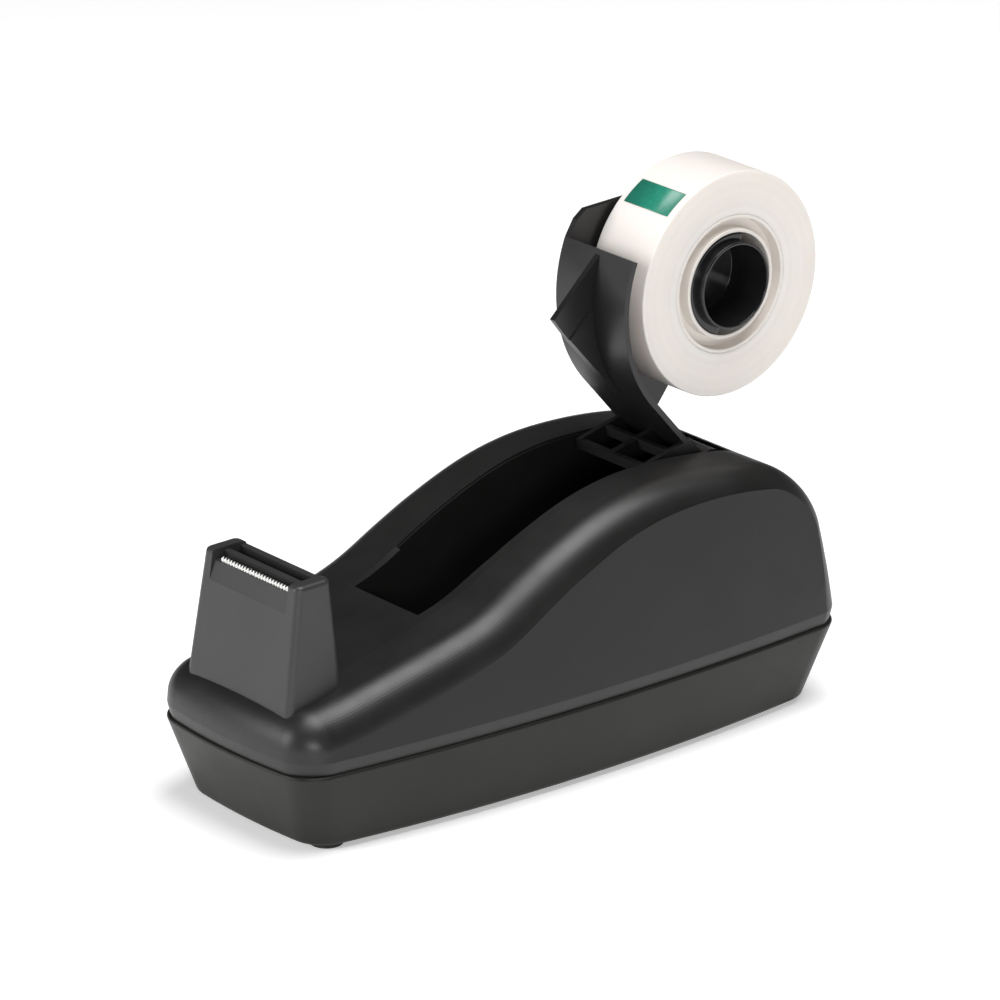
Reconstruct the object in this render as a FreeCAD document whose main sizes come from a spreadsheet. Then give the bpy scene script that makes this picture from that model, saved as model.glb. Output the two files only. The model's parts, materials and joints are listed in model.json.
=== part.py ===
"""Weighted desk tape dispenser with a flip-up roll arm, as a parametric assembly.

Frame: millimetres, +Z up, origin at the centre of the base footprint on the desk.
The cutter is at -X, the arm hinge at +X, and XZ is the plane of symmetry of the casing.
The rest pose has the roll arm raised.
"""
import FreeCAD, Part
import math
import os
import Sketcher
from FreeCAD import Placement, Rotation, Vector

DOC = FreeCAD.newDocument("TapeDispenser")
SHEET = DOC.addObject("Spreadsheet::Sheet", "Sizes")
NODES = []

SIZES = [
    # casing outline at its widest edge
    ("edge_z", 24.3), ("skirt_drop", 3.0), ("skirt_chamfer", 2.2), ("skirt_step", 0.05),
    ("front_x", -83.2), ("rear_x", 83.0), ("half_width", 37.3), ("widest_x", 33.0),
    ("side_arc", 694.0), ("front_arc", 161.0), ("rear_arc", 206.0), ("side_draft", 0.16),
    # side profile of the casing, as radii and headings of tangent arcs
    ("nose_rise", 1.5), ("nose_radius", 9.3), ("nose_heading", 6.0),
    ("toe_radius", 60.0), ("ramp_heading", 14.2), ("ramp_length", 36.0),
    ("dip_radius", 70.0), ("climb_heading", 32.0), ("crest_radius", 79.0),
    ("fall_radius", 150.0), ("fall_heading", -11.0), ("heel_radius", 22.0),
    ("heel_heading", -76.0),
    ("shoulder_radius", 9.2), ("shoulder_cut", 0.5), ("crown_drop", 4.0), ("crown_gap", 0.3),
    ("shell_wall", 2.8),
    # base tray
    ("tray_low_z", 1.0), ("tray_rim_z", 20.9), ("tray_wall", 2.2), ("tray_floor", 2.2),
    ("low_front_x", -76.4), ("low_rear_x", 76.8), ("low_half_width", 33.35), ("low_widest_x", 21.0),
    ("low_side_arc", 500.0), ("low_front_arc", 185.0), ("low_rear_arc", 200.0),
    ("corner_radius", 9.2), ("bottom_round", 1.6), ("rim_round", 0.7),
    ("ledge_low_z", 17.9), ("ledge_outer", 2.0), ("tongue_outer", 3.2), ("tongue_inner", 4.7),
    ("tongue_top_z", 23.4),
    # well in the casing's top
    ("well_front_x", -34.07), ("well_step_x", -20.0), ("well_rear_x", 62.5),
    ("well_narrow", 11.7), ("well_wide", 13.3), ("well_wall", 2.0), ("well_low_z", 3.5),
    # cutter post and blade
    ("post_front_x", -78.7), ("post_rear_x", -62.0), ("post_half", 19.0), ("post_low_z", 30.0),
    ("post_top_front_x", -74.1), ("post_top_rear_x", -64.2), ("post_top_half", 17.5),
    ("post_top_z", 63.7), ("post_round", 2.0), ("post_crown_round", 1.2),
    ("post_seam_z", 34.3), ("ear_width", 3.5),
    ("panel_lean", 2.2), ("panel_drop", 7.0), ("bay_depth", 5.5), ("bay_rear_wall", 1.8),
    ("rest_bar_x", -70.7), ("rest_bar_length", 1.7), ("rest_bar_drop", 0.9),
    ("blade_half", 12.36), ("blade_thick", 0.6), ("blade_height", 6.5), ("blade_top_drop", 1.3),
    ("blade_x", -72.97), ("tooth_depth", 0.7), ("blade_teeth", 24), ("panel_top_drop", 2.6),
    ("rear_wall_drop", 0.9),
    # screws and bosses
    ("screw_radius", 1.5), ("screw_head_radius", 3.0), ("screw_head", 1.5), ("hole_radius", 1.6),
    ("boss_radius", 4.0), ("screw_x", 52.0), ("screw_y", 20.3), ("screw_length", 13.0),
    ("post_screw_x", -69.5), ("post_screw_y", 10.0), ("post_screw_low_z", 26.0),
    ("post_screw_length", 18.0), ("pan_head_radius", 2.8), ("pan_head", 1.6),
    # ballast bars
    ("ballast_x", -47.0), ("ballast_length", 94.0), ("ballast_y", 16.0), ("ballast_width", 9.4),
    ("ballast_z", 3.2), ("ballast_height", 27.0), ("ballast_screw_x", 34.0),
    # feet
    ("foot_front_x", -68.5), ("foot_front_y", 19.8), ("foot_rear_x", 68.0), ("foot_rear_y", 24.0),
    ("foot_radius", 4.0), ("foot_height", 1.9),
    # hinge
    ("hinge_x", 57.0), ("hinge_z", 60.0), ("pin_radius", 1.5), ("pin_clearance", 0.06),
    ("pin_half", 17.4), ("barrel_radius", 3.6), ("clip_radius", 2.2), ("clip_thick", 0.8),
    # arm, centred on the roll
    ("arm_half", 12.3), ("cradle_inner", 34.8), ("cradle_outer", 36.2),
    ("cradle_top_angle", 157.5), ("cradle_low_angle", 221.0), ("strap_run", 32.0),
    ("plate_thick", 1.6), ("plate_top", 20.6), ("boss_y", 4.2), ("plate_boss_radius", 7.0),
    ("rib_thick", 1.6), ("second_rib_thick", 2.4), ("rung_thick", 1.6), ("rung_height", 2.4),
    # roll, hub and axle
    ("roll_x", 65.19), ("roll_z", 103.07), ("tape_radius", 27.95), ("tape_half", 9.52),
    ("core_radius", 17.17), ("core_ring", 13.64), ("core_bore", 12.7), ("core_recess", 3.2),
    ("hub_grip", 12.6), ("hub_tube", 10.8), ("hub_cup", 10.05), ("hub_near_y", -11.5),
    ("grip_near_y", -9.5), ("hub_far_y", 9.5), ("hub_web_y", 1.0), ("hub_web", 2.2),
    ("grip_rib_near_y", -3.0), ("grip_rib_angle", 14.0), ("grip_to", 252.0), ("grip_sweep", 179.0),
    ("axle_radius", 4.0), ("axle_clearance", 0.06), ("washer_radius", 7.5), ("washer_gap", 0.1),
    ("washer_thick", 0.9), ("hub_screw_head", 5.6),
    ("label_thick", 0.12), ("label_half", 7.7), ("label_from", 117.4), ("label_to", 132.4),
]


def fill_sheet():
    for row, (name, value) in enumerate(SIZES, start=1):
        SHEET.set(f"A{row}", name)
        SHEET.set(f"B{row}", str(value))
        SHEET.setAlias(f"B{row}", name)
    DOC.recompute()


fill_sheet()
D = {name: float(SHEET.get(name)) for name, _ in SIZES}


# ---------------------------------------------------------------- helpers
def node(label, obj):
    """Give a finished sub-part its name and list it for export."""
    obj.Label = label
    NODES.append(obj)
    return obj


def shape_node(label, shape, placement=None):
    """A sub-part whose sculpted shape is made with Part's own functions."""
    feature = DOC.addObject("Part::Feature", label)
    feature.Shape = shape
    feature.Placement = placement or Placement()
    return node(label, feature)


def size(rule):
    """Number behind a rule such as "-hub_cup" or ("hub_near_y", 1.5)."""
    if isinstance(rule, tuple):
        return size(rule[0]) + rule[1]
    if rule.startswith("-"):
        return -D[rule[1:]]
    return D[rule]


def formula(rule):
    """The same rule as an expression over the sheet."""
    if isinstance(rule, tuple):
        return f"{formula(rule[0])} + ({rule[1]})"
    if rule.startswith("-"):
        return f"-Sizes.{rule[1:]}"
    return f"Sizes.{rule}"


def bind(obj, **rules):
    for name, rule in rules.items():
        obj.setExpression(name.replace("__", "."), rule)
    return obj


def cylinder(name, radius, height, x, y, z, along="z"):
    """A cylinder from (x, y, z) along +Z or +Y; every size is an expression."""
    obj = DOC.addObject("Part::Cylinder", name)
    if along == "y":
        obj.Placement = Placement(Vector(), Rotation(Vector(1, 0, 0), -90))
    return bind(obj, Radius=radius, Height=height, Placement__Base__x=x, Placement__Base__y=y,
                Placement__Base__z=z)


def cone(name, low_radius, high_radius, height, x, y, z):
    obj = DOC.addObject("Part::Cone", name)
    return bind(obj, Radius1=low_radius, Radius2=high_radius, Height=height, Placement__Base__x=x,
                Placement__Base__y=y, Placement__Base__z=z)


def box(name, length, width, height, x, y, z):
    obj = DOC.addObject("Part::Box", name)
    return bind(obj, Length=length, Width=width, Height=height, Placement__Base__x=x,
                Placement__Base__y=y, Placement__Base__z=z)


def fuse(name, parts):
    obj = DOC.addObject("Part::MultiFuse", name)
    obj.Shapes = parts
    return obj


def cut(name, base, tool):
    obj = DOC.addObject("Part::Cut", name)
    obj.Base = base
    obj.Tool = tool
    return obj


def compound(name, parts):
    obj = DOC.addObject("Part::Compound", name)
    obj.Links = parts
    return obj


def line(a, b):
    return Part.LineSegment(a, b).toShape()


def arc(a, b, c):
    return Part.Arc(a, b, c).toShape()


def plane_of(body, role):
    return next(f for f in body.Origin.OriginFeatures if f.Role == role)


def sketch_on(body, name, role):
    """A sketch on one of the body's own origin planes."""
    sketch = body.newObject("Sketcher::SketchObject", name)
    sketch.AttachmentSupport = [(plane_of(body, role), "")]
    sketch.MapMode = "FlatFace"
    return sketch


def closed_lines(sketch, corners):
    """Closed polygon; each corner is a pair of rules pinned to the sheet."""
    points = [Vector(size(a), size(b), 0) for a, b in corners]
    count = len(points)
    first = sketch.GeometryCount
    for i, point in enumerate(points):
        sketch.addGeometry(Part.LineSegment(point, points[(i + 1) % count]), False)
    for i in range(count):
        sketch.addConstraint(Sketcher.Constraint("Coincident", first + i, 2, first + (i + 1) % count, 1))
    for i, (a, b) in enumerate(corners):
        for kind, rule, value in (("DistanceX", a, points[i].x), ("DistanceY", b, points[i].y)):
            index = sketch.addConstraint(Sketcher.Constraint(kind, -1, 1, first + i, 1, value))
            sketch.setExpression(f"Constraints[{index}]", formula(rule))
    return sketch


def revolved(label, corners):
    """A turned piece about the roll's axis: corners are (y, radius) rules."""
    body = DOC.addObject("PartDesign::Body", label)
    bind(body, Placement__Base__x="Sizes.roll_x", Placement__Base__z="Sizes.roll_z")
    sketch = closed_lines(sketch_on(body, f"{label}_profile", "YZ_Plane"), corners)
    turn = body.newObject("PartDesign::Revolution", f"{label}_turn")
    turn.Profile = sketch
    turn.ReferenceAxis = (sketch, ["H_Axis"])
    turn.Angle = 360.0
    return body


# ---------------------------------------------------------------- casing outline
def plan_outline(z, front, rear, half, widest, side_r, front_r, rear_r, corner):
    """Closed plan wire of four shallow arcs with rounded corners, at height z."""
    side_c = Vector(widest, half - side_r, 0)
    front_c = Vector(front + front_r, 0, 0)
    rear_c = Vector(rear - rear_r, 0, 0)

    def corner_arc(end_c, end_r, sign):
        """Centre and tangent points of the corner circle on the +Y side."""
        inner_end, inner_side = end_r - corner, side_r - corner
        gap = side_c.sub(end_c)
        reach = gap.Length
        along = (inner_end ** 2 - inner_side ** 2 + reach ** 2) / (2 * reach)
        across = math.sqrt(inner_end ** 2 - along ** 2)
        unit = gap * (1 / reach)
        normal = Vector(-unit.y, unit.x, 0)
        centre = max((end_c + unit * along + normal * (s * across) for s in (1, -1)),
                     key=lambda p: (p.y > 0, -sign * p.x))
        on_end = end_c + (centre - end_c) * (end_r / inner_end)
        on_side = side_c + (centre - side_c) * (side_r / inner_side)
        middle = (on_end + on_side) * 0.5 - centre
        return on_end, centre + middle * (corner / middle.Length), on_side

    f_end, f_mid, f_side = corner_arc(front_c, front_r, 1)
    r_end, r_mid, r_side = corner_arc(rear_c, rear_r, -1)
    side_mid = Vector(widest, half, 0)

    def flip(p):
        return Vector(p.x, -p.y, z)

    def keep(p):
        return Vector(p.x, p.y, z)

    edges = [
        arc(flip(f_end), Vector(front, 0, z), keep(f_end)),
        arc(keep(f_end), keep(f_mid), keep(f_side)),
        arc(keep(f_side), keep(side_mid), keep(r_side)),
        arc(keep(r_side), keep(r_mid), keep(r_end)),
        arc(keep(r_end), Vector(rear, 0, z), flip(r_end)),
        arc(flip(r_end), flip(r_mid), flip(r_side)),
        arc(flip(r_side), flip(side_mid), flip(f_side)),
        arc(flip(f_side), flip(f_mid), flip(f_end)),
    ]
    return Part.Wire(edges)


def tray_outline(share, inset):
    """Outline of the base tray from its bottom (share 0) to its rim (share 1)."""
    def mix(low, high):
        return D[low] + (D[high] - D[low]) * share

    z = D["tray_low_z"] + (D["tray_rim_z"] - D["tray_low_z"]) * share
    return plan_outline(z, mix("low_front_x", "front_x") + inset, mix("low_rear_x", "rear_x") - inset,
                        mix("low_half_width", "half_width") - inset, mix("low_widest_x", "widest_x"),
                        mix("low_side_arc", "side_arc") - inset, mix("low_front_arc", "front_arc") - inset,
                        mix("low_rear_arc", "rear_arc") - inset, D["corner_radius"] - inset)


# ---------------------------------------------------------------- housing
def profile_chain(x, z, heading, steps, y):
    """Edges of a chain of tangent lines and arcs in the plane y, and its end point."""
    edges = []
    for kind, size, turn_to in steps:
        start = Vector(x, y, z)
        if kind == "line":
            x += size * math.cos(heading)
            z += size * math.sin(heading)
            edges.append(line(start, Vector(x, y, z)))
            continue
        target = math.radians(turn_to)
        side = 1 if target > heading else -1
        cx = x - side * size * math.sin(heading)
        cz = z + side * size * math.cos(heading)
        middle = (heading + target) / 2
        via = Vector(cx + side * size * math.sin(middle), y, cz - side * size * math.cos(middle))
        x = cx + side * size * math.sin(target)
        z = cz - side * size * math.cos(target)
        edges.append(arc(start, via, Vector(x, y, z)))
        heading = target
    return edges, x, z


def side_profile(y, inset, low_z, drop=0.0):
    """Closed side profile at the plane y, moved inwards by inset and down by drop."""
    front = D["front_x"] + inset + y * y / (2 * D["front_arc"])
    rear = D["rear_x"] - inset - y * y / (2 * D["rear_arc"])
    rise = D["edge_z"] + D["nose_rise"] - low_z - drop
    steps = [
        ("line", rise, None),
        ("arc", D["nose_radius"] - inset, D["nose_heading"]),
        ("arc", D["toe_radius"] + inset, D["ramp_heading"]),
        ("line", D["ramp_length"], None),
        ("arc", D["dip_radius"] + inset, D["climb_heading"]),
        ("arc", D["crest_radius"] - inset, 0.0),
        ("arc", D["fall_radius"] - inset, D["fall_heading"]),
        ("arc", D["heel_radius"] - inset, D["heel_heading"]),
    ]
    edges, x, z = profile_chain(front, low_z, math.radians(90), steps, y)
    corner = Vector(rear, y, D["edge_z"] - drop)
    edges.append(line(Vector(x, y, z), corner))
    edges.append(line(corner, Vector(rear, y, low_z)))
    edges.append(line(Vector(rear, y, low_z), Vector(front, y, low_z)))
    return Part.Wire(edges)


def side_tool(sign, half, low_z):
    """Solid outside one side panel: a shallow arc in plan, leaning in with height."""
    reach = 60.0
    x_ends = (-110.0, 110.0)
    widest, radius = D["widest_x"], D["side_arc"]

    def wire(z):
        lean = D["side_draft"] * (z - D["edge_z"])

        def on_arc(x):
            drop = radius - math.sqrt(radius ** 2 - (x - widest) ** 2)
            return Vector(x, sign * (half - lean - drop), z)

        first, last = on_arc(x_ends[0]), on_arc(x_ends[1])
        out_last = Vector(x_ends[1], sign * reach, z)
        out_first = Vector(x_ends[0], sign * reach, z)
        return Part.Wire([arc(first, on_arc(widest), last), line(last, out_last),
                          line(out_last, out_first), line(out_first, first)])

    return Part.makeLoft([wire(low_z - 1.0), wire(90.0)], True, True)


def shoulder_edges(solid, low_z):
    """Edges between the side panels and the swept profile, on both sides."""
    found = []
    for edge in solid.Edges:
        middle = edge.valueAt((edge.FirstParameter + edge.LastParameter) / 2)
        level = edge.BoundBox.ZMax < low_z + 0.01
        span = edge.BoundBox.YMax - edge.BoundBox.YMin
        if abs(middle.y) > 20 and span < 15 and not level:
            found.append(edge)
    return found


def crown_form(inset, low_z):
    """The same profile swept over a crowned top, slightly outside the form near the middle."""
    sections = [side_profile(y, inset - D["crown_gap"], low_z - 10.0, D["crown_drop"] * (y / 46.0) ** 2)
                for y in (-46.0, 0.0, 46.0)]
    return Part.makeLoft(sections, True, False)


def housing_form(inset, low_z, rounded=True):
    """The casing's solid form, moved inwards by inset, from low_z up."""
    form = Part.makeLoft([side_profile(y, inset, low_z) for y in (-46.0, 0.0, 46.0)], True, False)
    half = D["half_width"] - inset
    if rounded:
        for sign in (1, -1):
            form = form.cut(side_tool(sign, half + D["shoulder_cut"], low_z))
        form = form.makeFillet(D["shoulder_radius"], shoulder_edges(form, low_z))
    for sign in (1, -1):
        form = form.cut(side_tool(sign, half, low_z))
    return form.common(crown_form(inset, low_z))


def well_prism(grow, low_z, high_z):
    """Plan shape of the well, narrow in front of its step, as a prism."""
    narrow, wide = D["well_narrow"] + grow, D["well_wide"] + grow
    front, rear, step = D["well_front_x"] - grow, D["well_rear_x"] + grow, D["well_step_x"] - grow
    outline = [(front, -narrow), (step, -narrow), (step, -wide), (rear, -wide),
               (rear, wide), (step, wide), (step, narrow), (front, narrow)]
    points = [Vector(x, y, low_z) for x, y in outline]
    face = Part.Face(Part.makePolygon(points + points[:1]))
    return face.extrude(Vector(0, 0, high_z - low_z))


# ---------------------------------------------------------------- casing pieces
def skirted_form(low_z):
    """Outer form of the housing with the turned-in skirt above the parting line."""
    outlines = [plan_outline(z, D["front_x"] + inset, D["rear_x"] - inset, D["half_width"] - inset,
                             D["widest_x"], D["side_arc"] - inset, D["front_arc"] - inset,
                             D["rear_arc"] - inset, D["corner_radius"] - inset)
                for z, inset in ((low_z, D["skirt_chamfer"]), (D["edge_z"], D["skirt_step"]))]
    edge_z = D["edge_z"] - D["skirt_step"]
    below = Part.makeBox(200, 120, edge_z, Vector(-100, -60, 0))
    return housing_form(0.0, low_z).cut(below).fuse(Part.makeLoft(outlines, True, True))


def screw_places():
    return [(sx * D["screw_x"], sy * D["screw_y"]) for sx in (-1, 1) for sy in (-1, 1)]


def drill(radius, x, y, z, length):
    return Part.makeCylinder(radius, length, Vector(x, y, z))


def make_housing():
    low_z = D["edge_z"] - D["skirt_drop"]
    top_z = 90.0
    outer = skirted_form(low_z)
    shell = outer.cut(housing_form(D["shell_wall"], low_z - 2.0, False))
    inside = housing_form(0.5 * D["shell_wall"], low_z, False)
    below = Part.makeBox(200, 120, low_z, Vector(-100, -60, 0))
    inside = inside.fuse(below)
    extras = [well_prism(D["well_wall"], D["well_low_z"], top_z)]
    extras += [drill(D["boss_radius"], x, y, D["well_low_z"], top_z) for x, y in screw_places()]
    extras += [drill(D["boss_radius"], D["post_screw_x"], s * D["post_screw_y"],
                     D["post_screw_low_z"] + D["pan_head"], top_z) for s in (-1, 1)]
    for extra in extras:
        shell = shell.fuse(extra.common(inside))
    shell = shell.cut(well_prism(0.0, 0.0, top_z))
    for x, y in screw_places():
        shell = shell.cut(drill(D["screw_radius"], x, y, 0.0, D["screw_length"] + 3.0))
    for side in (-1, 1):
        shell = shell.cut(drill(D["hole_radius"], D["post_screw_x"], side * D["post_screw_y"], 0.0, top_z))
    pin_hole = Part.makeCylinder(D["pin_radius"], 2 * D["pin_half"],
                                 Vector(D["hinge_x"], -D["pin_half"], D["hinge_z"]), Vector(0, 1, 0))
    shell = shell.cut(pin_hole)
    wall_y, pocket = D["well_wide"] + D["well_wall"], D["clip_thick"] + 0.2
    for low_y in (-wall_y - pocket, wall_y):
        shell = shell.cut(Part.makeCylinder(D["clip_radius"] + 0.2, pocket,
                                            Vector(D["hinge_x"], low_y, D["hinge_z"]), Vector(0, 1, 0)))
    return shape_node("housing", shell.removeSplitter())


def tray_solid(inset, low_share, high_share):
    return Part.makeLoft([tray_outline(low_share, inset), tray_outline(high_share, inset)], True, True)


def rim_prism(inset, low_z, high_z):
    """Upright solid with the tray's rim outline moved inwards."""
    outline = plan_outline(low_z, D["front_x"] + inset, D["rear_x"] - inset, D["half_width"] - inset,
                           D["widest_x"], D["side_arc"] - inset, D["front_arc"] - inset,
                           D["rear_arc"] - inset, D["corner_radius"] - inset)
    return Part.Face(outline).extrude(Vector(0, 0, high_z - low_z))


def make_base_tray():
    outer = tray_solid(0.0, 0.0, 1.0)
    low = [e for e in outer.Edges if e.BoundBox.ZMax < D["tray_low_z"] + 0.01]
    outer = outer.makeFillet(D["bottom_round"], low)
    high = [e for e in outer.Edges if e.BoundBox.ZMin > D["tray_rim_z"] - 0.01]
    outer = outer.makeFillet(D["rim_round"], high)
    floor_share = D["tray_floor"] / (D["tray_rim_z"] - D["tray_low_z"])
    tray = outer.cut(tray_solid(D["tray_wall"], floor_share, 1.2))
    hollow = rim_prism(D["tongue_inner"], D["ledge_low_z"], D["tongue_top_z"])
    for inset, high_z in ((D["ledge_outer"], D["tray_rim_z"] - 0.9), (D["tongue_outer"], D["tongue_top_z"])):
        tray = tray.fuse(rim_prism(inset, D["ledge_low_z"], high_z).cut(hollow))
    holes = screw_places()
    holes += [(sx * D["ballast_screw_x"], sy * (D["ballast_y"] + D["ballast_width"] / 2))
              for sx in (-1, 1) for sy in (-1, 1)]
    for x, y in holes:
        tray = tray.cut(drill(D["hole_radius"], x, y, 0.0, 5.0))
        sink = Part.makeCone(D["screw_head_radius"] + 0.1, D["hole_radius"], D["screw_head"],
                             Vector(x, y, D["tray_low_z"]))
        tray = tray.cut(sink)
    for x, y in foot_places().values():
        tray = tray.cut(drill(D["foot_radius"], x, y, 0.0, D["foot_height"]))
    return shape_node("base_tray", tray)


def foot_places():
    front, rear = (D["foot_front_x"], D["foot_front_y"]), (D["foot_rear_x"], D["foot_rear_y"])
    return {"front_left": (front[0], -front[1]), "front_right": front,
            "rear_left": (rear[0], -rear[1]), "rear_right": rear}


def make_feet():
    for end in ("front", "rear"):
        for side, sign in (("left", "-"), ("right", "")):
            label = f"foot_{end}_{side}"
            node(label, cylinder(label, "Sizes.foot_radius", "Sizes.foot_height", f"Sizes.foot_{end}_x",
                                 f"{sign}Sizes.foot_{end}_y", "0"))


def countersunk_screw(name, x, y):
    """A countersunk self-tapping screw pointing up, its head flush with the tray's underside."""
    head = cone(f"{name}_head", "Sizes.screw_head_radius", "Sizes.screw_radius", "Sizes.screw_head",
                x, y, "Sizes.tray_low_z")
    shank = cylinder(f"{name}_shank", "Sizes.screw_radius", "Sizes.screw_length", x, y, "Sizes.tray_low_z")
    slot = box(f"{name}_slot", "2 * Sizes.screw_head_radius", "0.8", "0.7",
               f"{x} - Sizes.screw_head_radius", f"{y} - 0.4", "Sizes.tray_low_z - 0.1")
    return cut(name, fuse(f"{name}_blank", [head, shank]), slot)


def make_screws():
    signs = [(a, b) for a in ("-", "") for b in ("-", "")]
    base = [countersunk_screw(f"base_screw_{i}", f"{sx}Sizes.screw_x", f"{sy}Sizes.screw_y")
            for i, (sx, sy) in enumerate(signs)]
    node("base_screws", compound("base_screws", base))
    middle = "(Sizes.ballast_y + Sizes.ballast_width / 2)"
    bars = [countersunk_screw(f"bar_screw_{i}", f"{sx}Sizes.ballast_screw_x", f"{sy}{middle}")
            for i, (sx, sy) in enumerate(signs)]
    node("ballast_screws", compound("ballast_screws", bars))
    posts = []
    for i, sign in enumerate(("-", "")):
        y = f"{sign}Sizes.post_screw_y"
        head = cylinder(f"post_head_{i}", "Sizes.pan_head_radius", "Sizes.pan_head", "Sizes.post_screw_x",
                        y, "Sizes.post_screw_low_z")
        shank = cylinder(f"post_shank_{i}", "Sizes.screw_radius", "Sizes.post_screw_length",
                         "Sizes.post_screw_x", y, "Sizes.post_screw_low_z")
        slot = box(f"post_slot_{i}", "2 * Sizes.pan_head_radius", "0.8", "0.7",
                   "Sizes.post_screw_x - Sizes.pan_head_radius", f"{y} - 0.4",
                   "Sizes.post_screw_low_z - 0.1")
        posts.append(cut(f"post_screw_{i}", fuse(f"post_blank_{i}", [head, shank]), slot))
    node("post_screws", compound("post_screws", posts))


def make_ballast():
    """Two cast bars beside the well, each tapped for two screws from below."""
    for side, low_y in (("left", "-Sizes.ballast_y - Sizes.ballast_width"), ("right", "Sizes.ballast_y")):
        bar = box(f"bar_{side}", "Sizes.ballast_length", "Sizes.ballast_width", "Sizes.ballast_height",
                  "Sizes.ballast_x", low_y, "Sizes.ballast_z")
        holes = [cylinder(f"bar_{side}_hole_{i}", "Sizes.screw_radius", "Sizes.screw_length",
                          f"{sign}Sizes.ballast_screw_x", f"{low_y} + Sizes.ballast_width / 2",
                          "Sizes.tray_low_z")
                 for i, sign in enumerate(("-", ""))]
        drilled = cut(f"bar_{side}_drilled", bar, fuse(f"bar_{side}_holes", holes))
        node(f"ballast_{side}", drilled)


# ---------------------------------------------------------------- cutter post and blade
def rounded_rectangle(z, low_x, high_x, half, radius):
    """Closed wire of a rectangle about the X axis with rounded corners, at height z."""
    bend = radius * (1 - math.sqrt(0.5))
    edges = []
    corners = [(low_x, -half, 1, 1), (high_x, -half, -1, 1), (high_x, half, -1, -1), (low_x, half, 1, -1)]
    ends = []
    for x, y, sx, sy in corners:
        along_y = Vector(x, y + sy * radius, z)
        along_x = Vector(x + sx * radius, y, z)
        via = Vector(x + sx * bend, y + sy * bend, z)
        ends.append((along_y, via, along_x) if sx * sy > 0 else (along_x, via, along_y))
    for i, (start, via, end) in enumerate(ends):
        edges.append(arc(start, via, end))
        edges.append(line(end, ends[(i + 1) % 4][0]))
    return Part.Wire(edges)


def make_cutter_post():
    """Tapered post with two ears, a leaning panel between them and an open bay behind the blade."""
    seam = rounded_rectangle(D["post_seam_z"], D["post_front_x"], D["post_rear_x"], D["post_half"],
                             D["post_round"])
    crown = rounded_rectangle(D["post_top_z"], D["post_top_front_x"], D["post_top_rear_x"],
                              D["post_top_half"], D["post_round"])
    foot = rounded_rectangle(D["post_low_z"], D["post_front_x"], D["post_rear_x"], D["post_half"],
                             D["post_round"])
    block = Part.makeLoft([seam, crown], True, True)
    tops = [e for e in block.Edges if e.BoundBox.ZMin > D["post_top_z"] - 0.01]
    block = block.makeFillet(D["post_crown_round"], tops)
    block = block.fuse(Part.makeLoft([foot, seam], True, True))

    between = D["post_top_half"] - D["ear_width"]
    top, front = D["post_top_z"], D["post_top_front_x"]
    slope = (D["post_top_front_x"] - D["post_front_x"]) / (top - D["post_seam_z"])
    wedge = prism_y([(front - slope * D["panel_drop"], top - D["panel_drop"]),
                     (front + D["panel_lean"], top + 2), (front - 4, top + 2)], between)
    bay_front, bay_rear = front + D["panel_lean"] + 0.2, D["post_top_rear_x"] - D["bay_rear_wall"]
    bay = prism_y([(bay_front, top - D["bay_depth"]), (bay_rear, top - D["bay_depth"]),
                   (bay_rear, top + 2), (bay_front, top + 2)], between)
    sill, lip = top - D["panel_top_drop"], top - D["rear_wall_drop"]
    above = prism_y([(front - 4, sill), (bay_front + 0.1, sill), (bay_front + 0.1, lip),
                     (D["post_top_rear_x"] + 4, lip), (D["post_top_rear_x"] + 4, top + 2),
                     (front - 4, top + 2)], between)
    bar = prism_y([(D["rest_bar_x"], top - D["bay_depth"]),
                   (D["rest_bar_x"] + D["rest_bar_length"], top - D["bay_depth"]),
                   (D["rest_bar_x"] + D["rest_bar_length"], top - D["rest_bar_drop"]),
                   (D["rest_bar_x"], top - D["rest_bar_drop"])], between)
    post = block.cut(wedge).cut(bay).fuse(bar).cut(above)
    post = post.cut(blade_seat())
    for side in (-1, 1):
        post = post.cut(drill(D["screw_radius"], D["post_screw_x"], side * D["post_screw_y"],
                              D["post_low_z"] - 1, D["post_screw_low_z"] + D["post_screw_length"]
                              - D["post_low_z"] + 1))
    post = post.cut(housing_form(0.0, D["edge_z"] - D["skirt_drop"]))
    return shape_node("cutter_post", post.removeSplitter())


def prism_y(outline, half):
    """Solid between y = -half and y = half with an outline of (x, z) points."""
    points = [Vector(x, -half, z) for x, z in outline]
    return Part.Face(Part.makePolygon(points + points[:1])).extrude(Vector(0, 2 * half, 0))


def blade_seat():
    top = D["post_top_z"] - D["blade_top_drop"]
    return Part.makeBox(D["blade_thick"], 2 * D["blade_half"], D["blade_height"] + 4.0,
                        Vector(D["blade_x"], -D["blade_half"], top - D["blade_height"]))


def make_cutter_blade():
    """Steel strip with saw teeth along its top edge."""
    x, top = D["blade_x"], D["post_top_z"] - D["blade_top_drop"]
    low = top - D["blade_height"]
    points = [Vector(x, -D["blade_half"], low)]
    teeth = int(D["blade_teeth"])
    pitch = 2 * D["blade_half"] / teeth
    for i in range(teeth):
        y = -D["blade_half"] + i * pitch
        points.append(Vector(x, y, top - D["tooth_depth"]))
        points.append(Vector(x, y + pitch / 2, top))
    points.append(Vector(x, D["blade_half"], top - D["tooth_depth"]))
    points.append(Vector(x, D["blade_half"], low))
    strip = Part.Face(Part.makePolygon(points + points[:1])).extrude(Vector(D["blade_thick"], 0, 0))
    return shape_node("cutter_blade", strip)


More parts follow.
